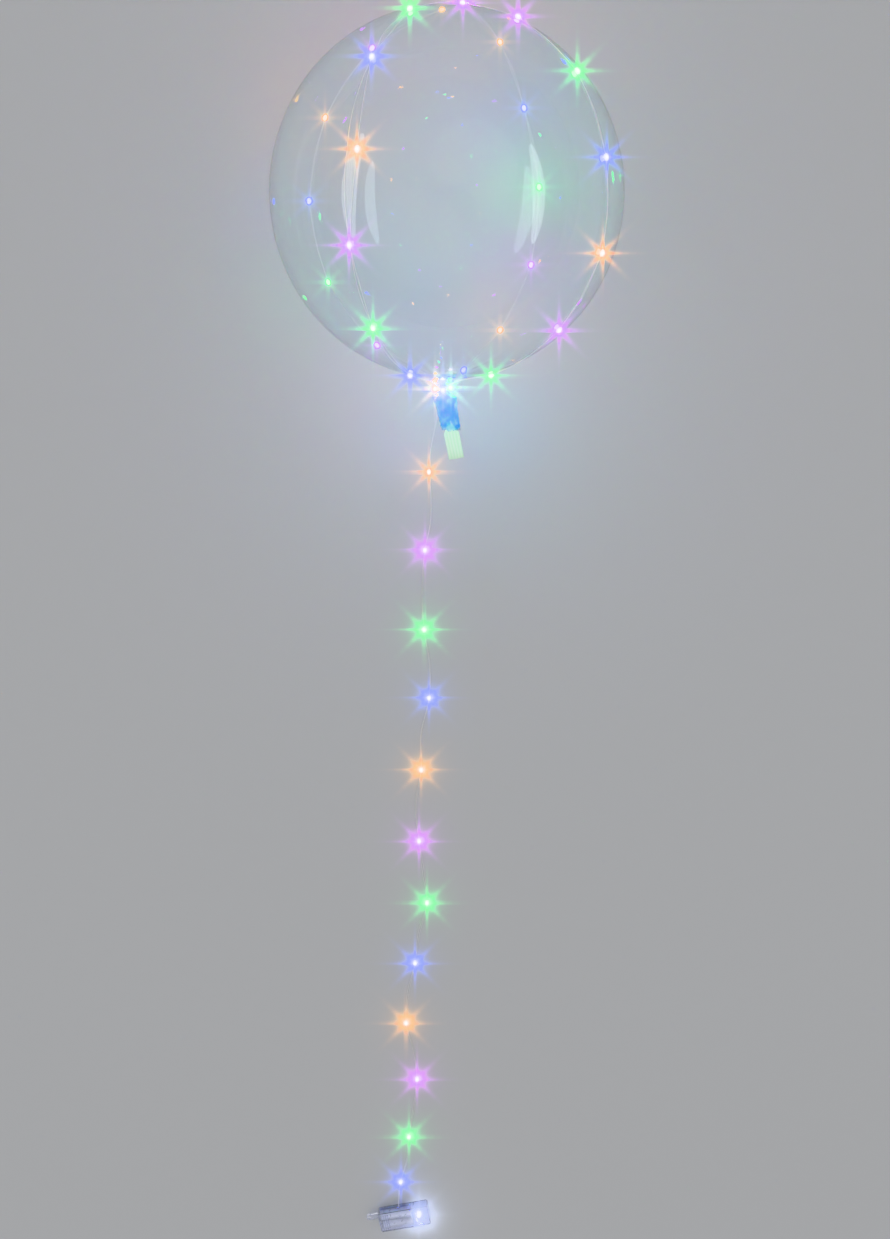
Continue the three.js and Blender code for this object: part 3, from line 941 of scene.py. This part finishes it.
# flat plate with grip ribs across one end
def makeLid():
    x, y = case["length"] / 2, case["width"] / 2
    top = case["height"]
    bm = bmesh.new()
    plate = addBox(bm, (-x, -y, top - case["lid"]), (x, y, top))
    bevelEdges(bm, edgesOf(plate, upright), case["corner"], case["cornerSteps"])
    rim = edgesOf(bm.verts, lambda a, b: min(a.z, b.z) > top - 1e-6)
    bevelEdges(bm, rim, lid["edge"], 3)
    reach = y - lid["ribInset"]
    for i in range(lid["ribs"]):
        start = lid["ribsFrom"] + lid["ribPitch"] * i - x
        rib = addBox(bm, (start, -reach, top - case["sunk"]),
                     (start + lid["ribWidth"], reach, top + lid["ribHeight"]))
        crest = edgesOf(rib, lambda a, b: min(a.z, b.z) > top)
        bevelEdges(bm, crest, lid["ribEdge"], 3)
    bmesh.ops.recalc_face_normals(bm, faces=bm.faces)
    addPiece("case_lid", meshFrom(bm, "case_lid", casePlace), [clearPlastic],
             ["battery_lid"], smooth=False)


cell = dict(radius=7 * mm, length=49 * mm, middle=-11.4 * mm, nub=2.7 * mm, nubHeight=1 * mm,
            bare=1.5 * mm)


# two cells, head to tail, each with its jacket turned in over both ends
def makeCells(jacket):
    half = cell["length"] / 2
    r = cell["radius"]
    nub = cell["nub"]
    top = half - cell["nubHeight"]
    outline = [(0, -half + 0.3 * mm), (r - 1.6 * mm, -half + 0.3 * mm), (r - 1.5 * mm, -half),
               (r - 0.5 * mm, -half), (r - 0.1 * mm, -half + 0.3 * mm), (r, -half + 0.9 * mm),
               (r, top - 0.8 * mm), (r - 0.1 * mm, top - 0.2 * mm), (r - 0.6 * mm, top),
               (r - 1.6 * mm, top), (r - 1.7 * mm, top - 0.3 * mm),
               (nub + 0.3 * mm, top - 0.3 * mm), (nub, top), (nub, half - 0.2 * mm),
               (nub - 0.3 * mm, half), (0, half)]
    high = case["wall"] + case["gap"] + r
    for name, side in (("battery_cell_a", 1), ("battery_cell_b", -1)):
        bm = bmesh.new()
        spinOutline(bm, outline, 32)
        for face in bm.faces:
            middle = face.calc_center_median()
            reach = Vector((middle.x, middle.z)).length
            face.material_index = int(reach < r - cell["bare"])
        beside = side * (r + case["gap"] / 2)
        place = (casePlace @ Matrix.Translation((cell["middle"], beside, high))
                 @ Matrix.Rotation(-pi / 2 * side, 4, "Z"))
        addPiece("cell_" + name[-1], meshFrom(bm, "cell_" + name[-1], place),
                 [jacket, nickel], [name])


# spring plates: each has its ends across the box, its side of the cells, and how far its
# spring, if any, reaches along the box
contact = dict(
    thickness=0.5 * mm, top=13 * mm, corner=1 * mm, wire=0.25 * mm,
    coils=3, coilSteps=16, coilRadii=(4 * mm, 2.2 * mm),
)
plates = dict(
    contact_bridge=dict(ends=(-12 * mm, 12 * mm), besideLug=True, side=1, reach=0.7 * mm),
    contact_plus=dict(ends=(3 * mm, 12 * mm), besideLug=False, side=1, reach=0),
    contact_minus=dict(ends=(-12 * mm, -3 * mm), besideLug=False, side=-1, reach=-1.7 * mm),
)


def springLine(start, reach):
    steps = contact["coils"] * contact["coilSteps"]
    wide, narrow = contact["coilRadii"]
    line = []
    for i in range(steps + 1):
        angle = 2 * pi * i / contact["coilSteps"]
        radius = wide + (narrow - wide) * i / steps
        offset = Vector((reach * i / steps, radius * cos(angle), radius * sin(angle)))
        line.append(Vector(start) + offset)
    return line


def makeContact(name, facts):
    thickness = contact["thickness"]
    low = case["wall"] + case["gap"]
    start = case["divider"] - case["gap"] - thickness
    if facts["besideLug"]:
        start = case["wall"] + case["gap"] - case["length"] / 2
    near, far = facts["ends"]
    bm = bmesh.new()
    box = addBox(bm, (start, near, low), (start + thickness, far, contact["top"]))
    alongX = edgesOf(box, lambda a, b: abs(a.x - b.x) > 1e-5)
    bevelEdges(bm, alongX, contact["corner"], 3)
    if facts["reach"]:
        face = start + thickness * facts["besideLug"]
        beside = facts["side"] * (cell["radius"] + case["gap"] / 2)
        line = springLine((face, beside, low + cell["radius"]), facts["reach"])
        mesh = tubesAlong("spring", [line], contact["wire"], 2)
        bm.from_mesh(mesh)
        bpy.data.meshes.remove(mesh)
    addPiece(name + "_plate", meshFrom(bm, name + "_plate", casePlace), [nickel],
             [name])


# the lamp's glow shows beside it, where its light leaves the box
lamp = dict(place=(21.8 * mm, -5 * mm, 6 * mm), chip=1 * mm, chipAt=-0.8 * mm,
            glowAt=(18.8 * mm, -13.2 * mm, 5 * mm), power=0.13)


def makeLamp():
    outline = [(0, -4), (2.9, -4), (2.9, -3), (2.5, -2.9), (2.5, 1.4), (2.3, 2.4), (1.8, 3.3),
               (1.1, 3.9), (0.5, 4.2), (0, 4.3)]
    bm = bmesh.new()
    spinOutline(bm, [(r * mm, h * mm) for r, h in outline], 24)
    made = bmesh.ops.create_cube(bm, size=lamp["chip"])
    bmesh.ops.translate(bm, vec=(0, lamp["chipAt"], 0), verts=made["verts"])
    useSecondMaterial(made["verts"])
    place = casePlace @ Matrix.Translation(lamp["place"]) @ Matrix.Rotation(pi / 2, 4, "X")
    piece = addPiece("case_lamp_lit", meshFrom(bm, "case_lamp_lit", place),
                     [resins["white"], chips["white"]], ["case_lamp"])
    piece.visible_shadow = False
    addGlow("case_lamp_glow", "white", casePlace @ Vector(lamp["glowAt"]), lamp["power"])


makeCaseBody()
makeLid()
makeCells(jacketMaterial())
for name, facts in plates.items():
    makeContact(name, facts)
makeLamp()
print("battery box made")


studio = dict(
    floor=80, floorColour=(0.54, 0.543, 0.55), sky=(0.975, 0.985, 1.0),
    skyLow=0.424, skyHigh=0.84, skyFrom=0.15, sun=0.25, sunTilt=(28, -22, 0), sunSpread=60,
)
# long panels that only show as highlights on what is glossy
panels = [
    dict(name="leftPanel", place=(-2.3, 0.1, 1.5), size=(2.6, 0.5), power=7),
    dict(name="rightPanel", place=(2.3, -0.1, 1.7), size=(2.6, 0.4), power=6),
]
panelAim = Vector((0, -0.5, 0))
bloom = dict(Threshold=3.0, Maximum=60.0, Size=0.3, Strength=0.6)
sparkle = dict(Threshold=3.0, Maximum=20.0, Strength=0.45, Streaks=8, Iterations=3, Fade=0.6)


def floorMaterial():
    material, nodes, links, shader = startMaterial("pale_floor")
    setValues(shader, Base_Color=(*studio["floorColour"], 1))
    roughen(nodes, links, shader, 40, (0.5, 0.62), 0.05, 0.0002)
    return material


def makeFloor():
    bm = bmesh.new()
    bmesh.ops.create_grid(bm, x_segments=1, y_segments=1, size=studio["floor"])
    mesh = meshFrom(bm, "floor")
    mesh.materials.append(floorMaterial())
    floor = bpy.data.objects.new("floor", mesh)
    bpy.context.collection.objects.link(floor)


# pale at the horizon, like the floor, and brighter overhead
def makeSky():
    world = bpy.data.worlds.new("studio")
    world.use_nodes = True
    nodes, links = world.node_tree.nodes, world.node_tree.links
    background = nodes["Background"]
    background.inputs["Color"].default_value = (*studio["sky"], 1)
    place = nodes.new("ShaderNodeTexCoord")
    parts = nodes.new("ShaderNodeSeparateXYZ")
    rise = nodes.new("ShaderNodeMapRange")
    rise.interpolation_type = "SMOOTHSTEP"
    rise.inputs["From Min"].default_value = studio["skyFrom"]
    rise.inputs["To Min"].default_value = studio["skyLow"]
    rise.inputs["To Max"].default_value = studio["skyHigh"]
    links.new(place.outputs["Generated"], parts.inputs["Vector"])
    links.new(parts.outputs["Z"], rise.inputs["Value"])
    links.new(rise.outputs["Result"], background.inputs["Strength"])
    bpy.context.scene.world = world


def makeLamps():
    data = bpy.data.lights.new("sun", "SUN")
    data.energy = studio["sun"]
    data.angle = radians(studio["sunSpread"])
    sun = bpy.data.objects.new("sun", data)
    sun.rotation_euler = [radians(angle) for angle in studio["sunTilt"]]
    sun.visible_glossy = False
    bpy.context.collection.objects.link(sun)
    for panel in panels:
        data = bpy.data.lights.new(panel["name"], "AREA")
        data.energy = panel["power"]
        data.shape = "ELLIPSE"
        data.size, data.size_y = panel["size"]
        light = bpy.data.objects.new(panel["name"], data)
        light.location = panel["place"]
        aim = panelAim - Vector(panel["place"])
        light.rotation_euler = aim.to_track_quat("-Z", "Y").to_euler()
        light.visible_camera = False
        light.visible_diffuse = False
        bpy.context.collection.objects.link(light)


makeFloor()
makeSky()
makeLamps()


# bright lights bloom and sparkle a little, as they do in a lens
def makeSparkle():
    scene = bpy.context.scene
    scene.view_settings.view_transform = "Khronos PBR Neutral"
    scene.use_nodes = True
    nodes, links = scene.node_tree.nodes, scene.node_tree.links
    nodes.clear()
    picture = nodes.new("CompositorNodeRLayers").outputs["Image"]
    for kind, values in (("BLOOM", bloom), ("STREAKS", sparkle)):
        glare = nodes.new("CompositorNodeGlare")
        glare.glare_type = kind
        setValues(glare, **values)
        links.new(picture, glare.inputs["Image"])
        picture = glare.outputs["Image"]
    output = nodes.new("CompositorNodeComposite")
    links.new(picture, output.inputs["Image"])


makeSparkle()
print("room made")
